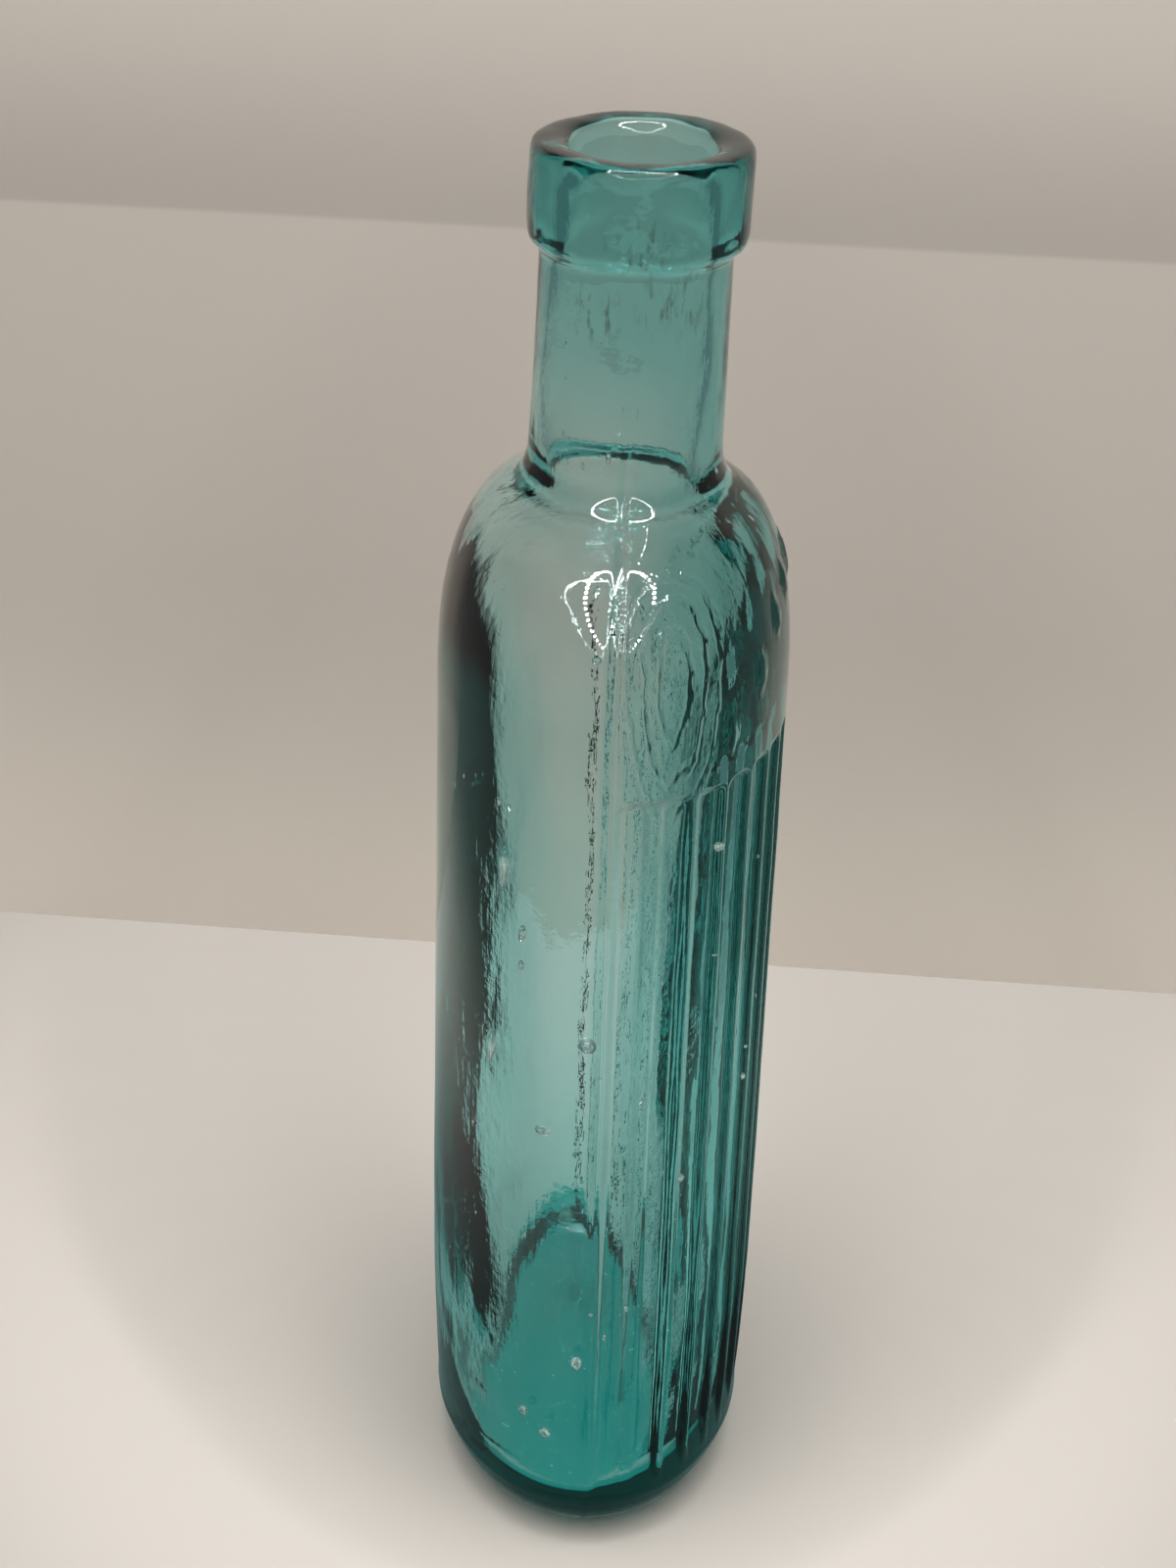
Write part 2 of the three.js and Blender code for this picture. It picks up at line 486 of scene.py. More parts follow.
    def flute_weight(self, arc: np.ndarray, height: np.ndarray) -> np.ndarray:
        """Share of the flutes' depth at points on the wall.

        Args:
            arc: length of skin from the seam.
            height: height above the resting face.

        Returns:
            0 on the lands, 1 on the flutes' floors.
        """
        pitch = Oval(self.half_width, self.half_depth).half_length() / self.flutes
        place = arc - self.flute_start
        across = np.abs(np.mod(place, pitch) - pitch / 2)
        half = (pitch - self.land) / 2
        land = np.round(place / pitch)
        beside_seam = (land == 1) | (land == self.flutes - 1)
        rise = height - self.flute_head + self.flute_corner
        side = across - half + self.flute_corner
        outer = np.hypot(np.maximum(side, 0), np.maximum(rise, 0))
        outside_by = outer + np.minimum(np.maximum(side, rise), 0) - self.flute_corner
        sunk = smooth(-outside_by, 0, self.flute_edge)
        panel = smooth(-rise, -self.flute_corner, self.flute_edge - self.flute_corner)
        panel *= 1 - self.faint_land
        foot = smooth(height, self.flute_foot, self.flute_foot + self.flute_fade)
        return np.where(beside_seam, np.maximum(sunk, panel), sunk) * foot * (arc > 0)


@dataclass
class AppliedLip:
    """The collar of glass laid round the mouth. Its far side was smoothed into the neck. Millimetres.

    Each ring says how far it is out from a radius and up from a height, and half of what its far side is
    drawn in by.
    """

    radius: float = 14.2
    foot: float = 187.0
    top: float = 200.0
    neck_radius: float = 12.3
    bore_radius: float = 8.7
    joint_rings: tuple[tuple[float, float, float], ...] = (
        (0.03, -1.5, 0.0), (0.16, -0.8, 0.05), (0.45, -0.25, 0.2), (0.92, 0.15, 0.4),
    )
    side_rings: tuple[tuple[float, float, float], ...] = (
        (-0.5, 0.6, 0.6), (-0.18, 1.2, 0.7), (-0.04, 2.0, 0.68), (0.0, 3.0, 0.5), (0.0, 5.0, 0.25),
        (0.0, 7.5, 0.05),
    )
    rim_rings: tuple[tuple[float, float, float], ...] = (
        (0.0, -3.5, 0.0), (-0.02, -1.8, 0.0), (-0.2, -0.7, 0.0), (-0.8, -0.12, 0.0), (-1.9, 0.0, 0.0),
    )
    mouth_rings: tuple[tuple[float, float, float], ...] = (
        (2.1, -0.05, 0.0), (1.0, -0.4, 0.0), (0.35, -1.1, 0.0), (0.06, -2.4, 0.0),
    )

    def levels(self) -> list[Level]:
        """Rings from the lip's underside, over its rim and into the mouth.

        Returns:
            The rings.
        """
        rings = []
        for start, height, offsets in (
            (self.neck_radius, self.foot, self.joint_rings),
            (self.radius, self.foot, self.side_rings),
            (self.radius, self.top, self.rim_rings),
            (self.bore_radius, self.top, self.mouth_rings),
        ):
            for out, up, less in offsets:
                radius = start + out
                rings.append(Level(radius - less, radius, height + up, Skin.LIP, (-less, 0.0)))
        return rings


@dataclass(frozen=True)
class Seed:
    """One bubble in the glass: height and place along the skin, half length and half width, in mm."""

    height: float
    arc: float
    half_length: float
    half_width: float
    depth: float = 1.4
    tilt: float = 0.0


@dataclass
class Seeds:
    """Bubbles that were caught in the glass and drawn out upwards as it was blown."""

    seen: tuple[Seed, ...] = (
        Seed(88.6, -2.3, 1.25, 1.2, 1.15),
        Seed(85.9, -2.3, 0.35, 0.42),
        Seed(72.2, -8.7, 0.7, 0.75),
        Seed(73.0, -7.1, 0.65, 0.55),
        Seed(109.1, -16.3, 3.2, 0.85, 1.5, 0.1),
        Seed(104.1, -12.1, 1.35, 0.55, 1.4, 0.15),
        Seed(99.4, -12.4, 0.75, 0.4),
        Seed(83.2, -18.4, 3.0, 0.85, 1.5, 0.1),
        Seed(119.6, -16.6, 0.6, 0.4),
        Seed(120.2, -15.0, 0.5, 0.4),
        Seed(34.1, -2.2, 1.2, 0.8),
        Seed(22.9, -10.5, 0.8, 0.7),
        Seed(19.9, -6.6, 0.9, 0.8),
        Seed(162.9, -7.0, 0.9, 0.35),
        Seed(115.1, 16.6, 0.7, 0.6),
        Seed(62.8, 14.0, 0.7, 0.6),
        Seed(143.0, -3.0, 0.5, 0.6),
    )
    strays: int = 90
    random_seed: int = 11
    stray_width: tuple[float, float] = (0.12, 0.34)
    stray_height: tuple[float, float] = (14.0, 184.0)
    stray_stretch: tuple[float, float] = (1.0, 3.2)
    stray_depth: tuple[float, float] = (0.7, 2.0)
    stray_tilt: float = 0.12
    flattened: float = 0.62  # a seed's half thickness is at most this share of its depth
    large_from: float = 0.36  # half width
    large_fineness: int = 3
    small_fineness: int = 2

    def all_seeds(self, half_length: float) -> list[Seed]:
        """Lists the seeds that stand out and smaller ones all round.

        Args:
            half_length: length of skin from one seam to the other.

        Returns:
            Every seed.
        """
        rng = np.random.default_rng(self.random_seed)
        seeds = list(self.seen)
        for _ in range(self.strays):
            width = rng.uniform(*self.stray_width)
            seeds.append(Seed(
                rng.uniform(*self.stray_height),
                rng.uniform(-half_length, half_length),
                width * rng.uniform(*self.stray_stretch),
                width,
                rng.uniform(*self.stray_depth),
                rng.normal(0, self.stray_tilt),
            ))
        return seeds

    def model_seed(self, fineness: int) -> bpy.types.Object:
        """Models one seed of unit size, with its skin facing the air in it.

        Args:
            fineness: how finely the ball is divided.

        Returns:
            The seed.
        """
        bpy.ops.object.select_all(action="DESELECT")
        bpy.ops.mesh.primitive_ico_sphere_add(subdivisions=fineness, radius=1)
        seed = bpy.context.object
        bpy.ops.object.mode_set(mode="EDIT")
        bpy.ops.mesh.select_all(action="SELECT")
        bpy.ops.mesh.flip_normals()
        bpy.ops.object.mode_set(mode="OBJECT")
        bpy.ops.object.shade_smooth()
        return seed

    def build(self, glass: bpy.types.Object, body: BlownBody) -> None:
        """Models a seed, copies it to each place under the skin and joins the copies to the glass.

        Args:
            glass: the bottle's glass.
            body: the body that the seeds lie in.
        """
        large = self.model_seed(self.large_fineness)
        small = self.model_seed(self.small_fineness)
        skin = SkinMap(glass, body)
        copies = []
        oval = Oval(body.half_width, body.half_depth)
        for seed in self.all_seeds(oval.half_length()):
            place, normal = skin.at(seed.height, seed.arc)
            across = Vector((0, 0, 1)).cross(normal).normalized()
            upward = normal.cross(across)
            turn = Matrix((across, normal, upward)).transposed().to_4x4()
            tilt = Matrix.Rotation(seed.tilt, 4, "Y")
            flat = min(seed.half_width, self.flattened * seed.depth)
            size = Matrix.Diagonal((seed.half_width * MM, flat * MM, seed.half_length * MM, 1))
            spot = Matrix.Translation(place - normal * (seed.depth * MM))
            master = large if seed.half_width > self.large_from else small
            mesh = master.data.copy()
            mesh.transform(spot @ turn @ tilt @ size)
            copy = bpy.data.objects.new("seed", mesh)
            bpy.context.scene.collection.objects.link(copy)
            copies.append(copy)
        bpy.data.objects.remove(large)
        bpy.data.objects.remove(small)
        make_active(glass)
        for copy in copies:
            copy.select_set(True)
        bpy.ops.object.join()


class SkinMap:
    """The glass's points as numbers: where each lies on the skin, and which skin it belongs to."""

    TOP = 210.0  # the lean is worked out up to here, and this often
    STEP = 0.5
    FAR = 1000.0  # keeps points off the outside from being the nearest

    def __init__(self, glass: bpy.types.Object, body: BlownBody) -> None:
        """Reads the points, normals and skins of the glass as it is now.

        Args:
            glass: the glass.
            body: the body, which says how far each height leans.
        """
        mesh = glass.data
        count = len(mesh.vertices)
        points = np.empty(count * 3)
        normals = np.empty(count * 3)
        mesh.vertices.foreach_get("co", points)
        mesh.vertex_normals.foreach_get("vector", normals)
        self.points = points.reshape(-1, 3) / MM
        self.normals = normals.reshape(-1, 3)
        self.height = self.points[:, 2]
        heights = np.arange(0, self.TOP, self.STEP)
        leans = np.array([body.lean_at(height) for height in heights])
        lean = np.interp(self.height, heights, leans)
        self.across = self.points[:, 0]
        self.along = self.points[:, 1] - lean
        self.arc = Oval(body.half_width, body.half_depth).arc_of(self.across, self.along)
        self.outside = self.share_of(glass, Skin.OUTSIDE)
        self.inside = self.share_of(glass, Skin.INSIDE)

    def share_of(self, glass: bpy.types.Object, skin: Skin) -> np.ndarray:
        """Reads how much each point belongs to a skin.

        Args:
            glass: the glass.
            skin: the skin.

        Returns:
            A weight for each point.
        """
        group = glass.vertex_groups[skin.value].index
        shares = np.zeros(len(glass.data.vertices))
        for vertex in glass.data.vertices:
            for element in vertex.groups:
                if element.group == group:
                    shares[vertex.index] = element.weight
        return shares

    def at(self, height: float, arc: float) -> tuple[Vector, Vector]:
        """Finds a place on the outside.

        Args:
            height: height above the resting face, in millimetres.
            arc: length of skin from the seam, in millimetres.

        Returns:
            The nearest point in metres, and its normal.
        """
        miss = np.hypot(self.height - height, self.arc - arc) + self.FAR * (self.outside < 0.5)
        nearest = int(np.argmin(miss))
        return Vector(self.points[nearest] * MM), Vector(self.normals[nearest])


@dataclass(frozen=True)
class GlassFinish:
    """Aqua bottle glass, mould-blown and fire-polished: clear, wavy and tinted by iron.

    The eye sees the colour deepen where the glass is thick, slow waves and drawn streaks on the inside, a
    fine ripple, nested wrinkles on the shoulder, a faint haze and a brown stain round the neck.
    Sizes are in millimetres.
    """

    ior: float = 1.52
    tint: str = "#00D8D7"
    absorption: float = 147.0
    ripple_size: float = 1.1
    ripple_height: float = 0.024
    polish: float = 0.22  # share of the waves and the ripple that the mould left on the outside
    streak_size: float = 0.8
    streak_height: float = 0.02
    streak_stretch: float = 0.12
    wave_size: float = 4.0
    wave_height: float = 0.07
    wave_stretch: float = 0.45
    wave_twist: float = 0.4
    haze_size: float = 18.0
    haze_range: tuple[float, float] = (0.45, 0.8)
    haze_roughness: float = 0.03
    wrinkle_place: tuple[float, float, float] = (-29.0, -7.5, 139.5)
    wrinkle_reach: tuple[float, float, float] = (9.0, 6.0, 18.0)
    wrinkle_lines: float = 3.0
    wrinkle_wander: float = 1.6
    wrinkle_wander_size: float = 5.0
    wrinkle_ridge: float = 0.22
    wrinkle_fade: tuple[float, float] = (1.25, 0.95)
    wrinkle_height: float = 0.075
    stain: str = "#7A5A30"
    stain_places: tuple[tuple[float, float, float, float], ...] = (
        (-14.0, -1.0, 190.0, 5.5), (-11.0, -6.0, 183.0, 6.5), (-11.5, 4.0, 181.0, 5.0),
    )
    stain_core: float = 0.2
    stain_size: float = 1.1
    stain_stretch: float = 0.3
    stain_slant: float = 0.5
    stain_range: tuple[float, float] = (0.5, 0.68)

    def build(self) -> bpy.types.Material:
        """Makes the material.

        Returns:
            The glass.
        """
        # Bottle glass blown in an iron mould: glossy and clear, with teal depth and light that wavers.
        material = bpy.data.materials.new("aqua_bottle_glass")
        material.use_nodes = True
        tree = material.node_tree
        tree.nodes.clear()
        place = add_node(tree, "ShaderNodeTexCoord").outputs["Object"]
        drawn, pulled = [
            add_node(tree, "ShaderNodeMapping", {"Scale": (1, 1, stretch)}, {"Vector": place}).outputs[0]
            for stretch in (self.wave_stretch, self.streak_stretch)
        ]
        inside = add_node(tree, "ShaderNodeAttribute", {"attribute_name": INSIDE}).outputs["Fac"]
        share = add_node(tree, "ShaderNodeMapRange", {"To Min": self.polish}, {"Value": inside}).outputs[0]
        bump = None
        for size, height, twist, vector, amount in (
            (self.wave_size, self.wave_height, self.wave_twist, drawn, share),
            (self.streak_size, self.streak_height, 0.0, pulled, inside),
            (self.ripple_size, self.ripple_height, 0.0, place, share),
        ):
            noise = add_node(
                tree, "ShaderNodeTexNoise",
                {"Scale": 1 / (size * MM), "Detail": 2.0, "Roughness": 0.5, "Distortion": twist},
                {"Vector": vector},
            )
            relief = add_node(
                tree, "ShaderNodeMath", {"operation": "MULTIPLY"}, {0: noise.outputs["Fac"], 1: amount},
            )
            bump = self.raised(tree, relief.outputs[0], height, bump)
        bump = self.raised(tree, self.wrinkles(tree, place, drawn), self.wrinkle_height, bump)
        haze = add_node(
            tree, "ShaderNodeTexNoise", {"Scale": 1 / (self.haze_size * MM), "Detail": 4.0},
            {"Vector": place},
        )
        low, high = self.haze_range
        rough = add_node(
            tree, "ShaderNodeMapRange",
            {"From Min": low, "From Max": high, "To Min": 0.0, "To Max": self.haze_roughness},
            {"Value": haze.outputs["Fac"]},
        )
        surface = add_node(
            tree, "ShaderNodeBsdfPrincipled", {"IOR": self.ior, "Transmission Weight": 1.0},
            {"Base Color": self.stained(tree, place), "Roughness": rough.outputs[0], "Normal": bump},
        )
        depth = add_node(
            tree, "ShaderNodeVolumeAbsorption", {"Color": linear(self.tint), "Density": self.absorption},
        )
        add_node(
            tree, "ShaderNodeOutputMaterial", None,
            {"Surface": surface.outputs[0], "Volume": depth.outputs[0]},
        )
        return material

    def stained(self, tree: bpy.types.NodeTree, place: bpy.types.NodeSocket) -> bpy.types.NodeSocket:
        """Adds the thin brown stain, in drawn streaks round the foot of the lip.

        Args:
            tree: the material's node tree.
            place: Object coordinates.

        Returns:
            The colour of the surface.
        """
        drawn = add_node(
            tree, "ShaderNodeMapping",
            {"Rotation": (self.stain_slant, 0, 0), "Scale": (1, 1, self.stain_stretch)}, {"Vector": place},
        )
        streaks = add_node(
            tree, "ShaderNodeTexNoise",
            {"Scale": 1 / (self.stain_size * MM), "Detail": 4.0, "Roughness": 0.6},
            {"Vector": drawn.outputs[0]},
        )
        spread = None
        for *middle, reach in self.stain_places:
            spot = [value * MM for value in middle]
            away = add_node(tree, "ShaderNodeVectorMath", {"operation": "DISTANCE", 1: spot}, {0: place})
            near = add_node(
                tree, "ShaderNodeMapRange",
                {
                    "interpolation_type": "SMOOTHSTEP", "From Min": reach * MM,
                    "From Max": self.stain_core * reach * MM,
                },
                {"Value": away.outputs["Value"]},
            ).outputs[0]
            if spread is not None:
                both = add_node(tree, "ShaderNodeMath", {"operation": "MAXIMUM"}, {0: near, 1: spread})
                near = both.outputs[0]
            spread = near
        low, high = self.stain_range
        shown = add_node(
            tree, "ShaderNodeMapRange",
            {"interpolation_type": "SMOOTHSTEP", "From Min": low, "From Max": high},
            {"Value": streaks.outputs["Fac"]},
        )
        share = add_node(
            tree, "ShaderNodeMath", {"operation": "MULTIPLY"}, {0: spread, 1: shown.outputs[0]},
        )
        colour = add_node(
            tree, "ShaderNodeMix", {"data_type": "RGBA", 6: (1, 1, 1, 1), 7: linear(self.stain)},
            {0: share.outputs[0]},
        )
        return colour.outputs[2]

    def raised(
        self,
        tree: bpy.types.NodeTree,
        pattern: bpy.types.NodeSocket,
        height: float,
        normal: bpy.types.NodeSocket | None,
    ) -> bpy.types.NodeSocket:
        """Adds one relief to the surface.

        Args:
            tree: the material's node tree.
            pattern: the relief, from 0 to 1.
            height: what 1 stands for, in millimetres.
            normal: the normal that the relief is added to.

        Returns:
            The new normal.
        """
        links = {"Height": pattern}
        if normal is not None:
            links["Normal"] = normal
        bump = add_node(tree, "ShaderNodeBump", {"Strength": 1.0, "Distance": height * MM}, links)
        return bump.outputs["Normal"]

    def wrinkles(
        self, tree: bpy.types.NodeTree, place: bpy.types.NodeSocket, drawn: bpy.types.NodeSocket,
    ) -> bpy.types.NodeSocket:
        """Adds the nested wrinkles that the glass took where it first chilled on the mould.

        Args:
            tree: the material's node tree.
            place: Object coordinates.
            drawn: Object coordinates stretched upwards.

        Returns:
            The wrinkles, from 0 to 1.
        """
        middle = [-value * MM for value in self.wrinkle_place]
        scale = [1 / (value * MM) for value in self.wrinkle_reach]
        moved = add_node(tree, "ShaderNodeVectorMath", {"operation": "ADD", 1: middle}, {0: place})
        oval = add_node(
            tree, "ShaderNodeVectorMath", {"operation": "MULTIPLY", 1: scale}, {0: moved.outputs[0]},
        )
        away = add_node(tree, "ShaderNodeVectorMath", {"operation": "LENGTH"}, {0: oval.outputs[0]})
        wander = add_node(
            tree, "ShaderNodeTexNoise",
            {"Scale": 1 / (self.wrinkle_wander_size * MM), "Detail": 3.0, "Roughness": 0.6},
            {"Vector": drawn},
        )
        count = add_node(
            tree, "ShaderNodeMath", {"operation": "MULTIPLY", 1: self.wrinkle_lines},
            {0: away.outputs["Value"]},
        )
        line = add_node(
            tree, "ShaderNodeMath", {"operation": "MULTIPLY_ADD", 1: self.wrinkle_wander},
            {0: wander.outputs["Fac"], 2: count.outputs[0]},
        )
        turn = add_node(tree, "ShaderNodeMath", {"operation": "PINGPONG", 1: 0.5}, {0: line.outputs[0]})
        ridge = add_node(
            tree, "ShaderNodeMapRange",
            {"interpolation_type": "SMOOTHSTEP", "From Min": self.wrinkle_ridge, "From Max": 0.0},
            {"Value": turn.outputs[0]},
        )
        outer, inner = self.wrinkle_fade
        near = add_node(
            tree, "ShaderNodeMapRange",
            {"interpolation_type": "SMOOTHSTEP", "From Min": outer, "From Max": inner},
            {"Value": away.outputs["Value"]},
        )
        shown = add_node(
            tree, "ShaderNodeMath", {"operation": "MULTIPLY"}, {0: ridge.outputs[0], 1: near.outputs[0]},
        )
        return shown.outputs[0]


@dataclass(frozen=True)
class PaperFinish:
    """Uncoated pale paper under warm light: matt, with a faint even tooth."""

    name: str
    colour: str
    tooth: float = 1.2  # real paper's is finer, and is drawn this coarse so that it shows
    tooth_height: float = 0.05
    tooth_strength: float = 0.3
    roughness: float = 0.9
    gloss: float = 0.2

    def nodes(self) -> tuple[bpy.types.Material, bpy.types.NodeSocket, bpy.types.Node]:
        """Makes the material up to its paper.

        Returns:
            The material, its Object coordinates and its paper shader.
        """
        # Uncoated paper, rolled and dried: matt and even, with hardly any gloss.
        material = bpy.data.materials.new(self.name)
        material.use_nodes = True
        tree = material.node_tree
        tree.nodes.clear()
        place = add_node(tree, "ShaderNodeTexCoord").outputs["Object"]
        grain = add_node(
            tree, "ShaderNodeTexNoise", {"Scale": 1 / (self.tooth * MM), "Detail": 3.0}, {"Vector": place},
        )
        bump = add_node(
            tree, "ShaderNodeBump",
            {"Strength": self.tooth_strength, "Distance": self.tooth_height * MM},
            {"Height": grain.outputs["Fac"]},
        )
        paper = add_node(
            tree, "ShaderNodeBsdfPrincipled",
            {
                "Base Color": linear(self.colour), "Roughness": self.roughness,
                "Specular IOR Level": self.gloss,
            },
            {"Normal": bump.outputs["Normal"]},
        )
        return material, place, paper

    def away_from(
        self,
        tree: bpy.types.NodeTree,
        place: bpy.types.NodeSocket,
        middle: float,
        oval: tuple[float, float],
    ) -> bpy.types.NodeSocket:
        """Adds nodes that give 0 in the middle of an oval on the floor and 1 on its edge.

        Args:
            tree: the material's node tree.
            place: Object coordinates.
            middle: the oval's middle along x.
            oval: its half sizes along x and y.

        Returns:
            The socket that says so.
        """
        moved = add_node(tree, "ShaderNodeVectorMath", {"operation": "ADD", 1: (-middle, 0, 0)}, {0: place})
        scale = (1 / oval[0], 1 / oval[1], 0)
        sized = add_node(
            tree, "ShaderNodeVectorMath", {"operation": "MULTIPLY", 1: scale}, {0: moved.outputs[0]},
        )
        away = add_node(tree, "ShaderNodeVectorMath", {"operation": "LENGTH"}, {0: sized.outputs[0]})
        return away.outputs["Value"]

    def build_floor(self, lit: "FloorLight") -> bpy.types.Material:
        """Makes the floor's paper, which passes into the backdrop's tone away from the bottle.

        Args:
            lit: the ovals on the floor and their colours.

        Returns:
            The material.
        """
        material, place, paper = self.nodes()
        tree = material.node_tree
        path = add_node(tree, "ShaderNodeLightPath").outputs
        through = path["Is Transmission Ray"]
        mirrored = add_node(
            tree, "ShaderNodeMath", {"operation": "SUBTRACT", "use_clamp": True},
            {0: path["Is Glossy Ray"], 1: through},
        ).outputs[0]
        sheet = self.away_from(tree, place, lit.sheet_middle, lit.sheet)
        base = self.away_from(tree, place, lit.base_middle, lit.base)
        foot = self.away_from(tree, place, 0.0, lit.foot)
        shader = paper.outputs[0]
        for away, (start, end), colour, ray in (
            (sheet, lit.sheet_fade, lit.surround, seen_directly(tree)),
            (base, lit.base_fade, lit.base_glow, through),
            (foot, lit.foot_fade, lit.foot_shade, mirrored),
        ):
            share = add_node(
                tree, "ShaderNodeMapRange",
                {"interpolation_type": "SMOOTHSTEP", "From Min": start, "From Max": end}, {"Value": away},
            )
            shown = add_node(
                tree, "ShaderNodeMath", {"operation": "MULTIPLY"}, {0: share.outputs[0], 1: ray},
            )
            glow = add_node(tree, "ShaderNodeEmission", {"Color": linear(colour), "Strength": 1.0})
            mixed = add_node(
                tree, "ShaderNodeMixShader", None, {0: shown.outputs[0], 1: shader, 2: glow.outputs[0]},
            )
            shader = mixed.outputs[0]
        add_node(tree, "ShaderNodeOutputMaterial", None, {"Surface": shader})
        return material

    def build_card(self, card: "CardLook") -> bpy.types.Material:
        """Makes the card's paper, which is clear from behind and to light that the camera does not see.

        Args:
            card: the card's sheets and where they clear.

        Returns:
            The material.
        """
        material, place, paper = self.nodes()
        tree = material.node_tree
        parts = add_node(tree, "ShaderNodeSeparateXYZ", None, {"Vector": place})
        tones = []
        # Painted bounce light off the floor makes the card brighter towards its foot; over the edge line
        # the tone steps darker and grows lighter upwards.
        for low, high, (first, last) in (
            (0.0, card.painted_bounce_reach, card.painted_bounce_tones),
            (card.edge, card.edge + card.back_fade, card.back_tones),
            (card.edge + card.edge_blur[0], card.edge + card.edge_blur[1], (0.0, 1.0)),
        ):
            tone = add_node(
                tree, "ShaderNodeMapRange",
                {
                    "interpolation_type": "SMOOTHSTEP", "From Min": low, "From Max": high,
                    "To Min": first, "To Max": last,
                },
                {"Value": parts.outputs["Z"]},
            )
            tones.append(tone.outputs[0])
        front, back, over = tones
        tone = add_node(tree, "ShaderNodeMix", {"data_type": "FLOAT"}, {0: over, 2: front, 3: back})
        colour = add_node(
            tree, "ShaderNodeVectorMath", {"operation": "SCALE", 0: linear(self.colour)[:3]},
            {"Scale": tone.outputs[0]},
        )
        tree.links.new(colour.outputs[0], paper.inputs["Base Color"])
        beside = add_node(tree, "ShaderNodeMath", {"operation": "ABSOLUTE"}, {0: parts.outputs["Y"]})
        facing = add_node(tree, "ShaderNodeNewGeometry").outputs["Backfacing"]
        shown = add_node(tree, "ShaderNodeMath", {"operation": "SUBTRACT", 0: 1.0}, {1: facing}).outputs[0]
        shares = [seen_directly(tree)]
        for value, (full, gone) in ((beside.outputs[0], card.beside), (parts.outputs["Z"], card.above)):
            fade = add_node(
                tree, "ShaderNodeMapRange",
                {"interpolation_type": "SMOOTHSTEP", "From Min": gone, "From Max": full}, {"Value": value},
            )
            shares.append(fade.outputs[0])
        for share in shares:
            less = add_node(tree, "ShaderNodeMath", {"operation": "MULTIPLY"}, {0: shown, 1: share})
            shown = less.outputs[0]
        clear = add_node(tree, "ShaderNodeBsdfTransparent").outputs[0]
        mixed = add_node(tree, "ShaderNodeMixShader", None, {0: shown, 1: clear, 2: paper.outputs[0]})
        add_node(tree, "ShaderNodeOutputMaterial", None, {"Surface": mixed.outputs[0]})
        return material


def seen_directly(tree: bpy.types.NodeTree) -> bpy.types.NodeSocket:
    """Adds nodes that give 1 to what the camera sees, straight or through the glass, and 0 to other light.

    Args:
        tree: the material's or the world's node tree.

    Returns:
        The socket that says so.
    """
    path = add_node(tree, "ShaderNodeLightPath")
    mirrored = add_node(
        tree, "ShaderNodeMath", {"operation": "MAXIMUM"},
        {0: path.outputs["Is Camera Ray"], 1: path.outputs["Is Glossy Ray"]},
    )
    seen = add_node(
        tree, "ShaderNodeMath", {"operation": "MAXIMUM"},
        {0: mirrored.outputs[0], 1: path.outputs["Is Transmission Ray"]},
    )
    return seen.outputs[0]


@dataclass(frozen=True)
class FloorLight:
    """How the floor's paper is lit: a pale oval, and the glow and shade round the bottle's own foot.

    Lamps this small would need very many samples to send their light through the base, so its glow on the
    paper is given here, and only shows through the glass. The shade only shows in reflections, and keeps
    the paper's mirror image off the glass as a polarising filter does. Metres, with fades in half sizes.
    """

    surround: str
    sheet_middle: float = 0.09
    sheet: tuple[float, float] = (0.165, 0.118)
    sheet_fade: tuple[float, float] = (0.85, 1.7)
    base_middle: float = 0.008
    base: tuple[float, float] = (0.045, 0.026)
    base_fade: tuple[float, float] = (1.0, 0.8)
    base_glow: str = "#3AA69C"
    foot: tuple[float, float] = (0.05, 0.045)
    foot_fade: tuple[float, float] = (3.6, 1.0)
    foot_shade: str = "#627573"


@dataclass(frozen=True)
class CardLook:
    """How the card shows: brighter towards its foot, where bounce light off the floor is painted on, then a
    step darker over an edge line that grows lighter upwards, and where it clears. Metres.
    """

    edge: float = 0.1465
    edge_blur: tuple[float, float] = (-0.0008, 0.0004)
    # painted bounce light off the floor: the card's tone falls from its foot up to this height
    painted_bounce_reach: float = 0.08
    painted_bounce_tones: tuple[float, float] = (1.34, 1.0)
    back_fade: float = 0.045
    back_tones: tuple[float, float] = (0.82, 1.06)
    beside: tuple[float, float] = (0.14, 0.24)
    above: tuple[float, float] = (0.26, 0.36)


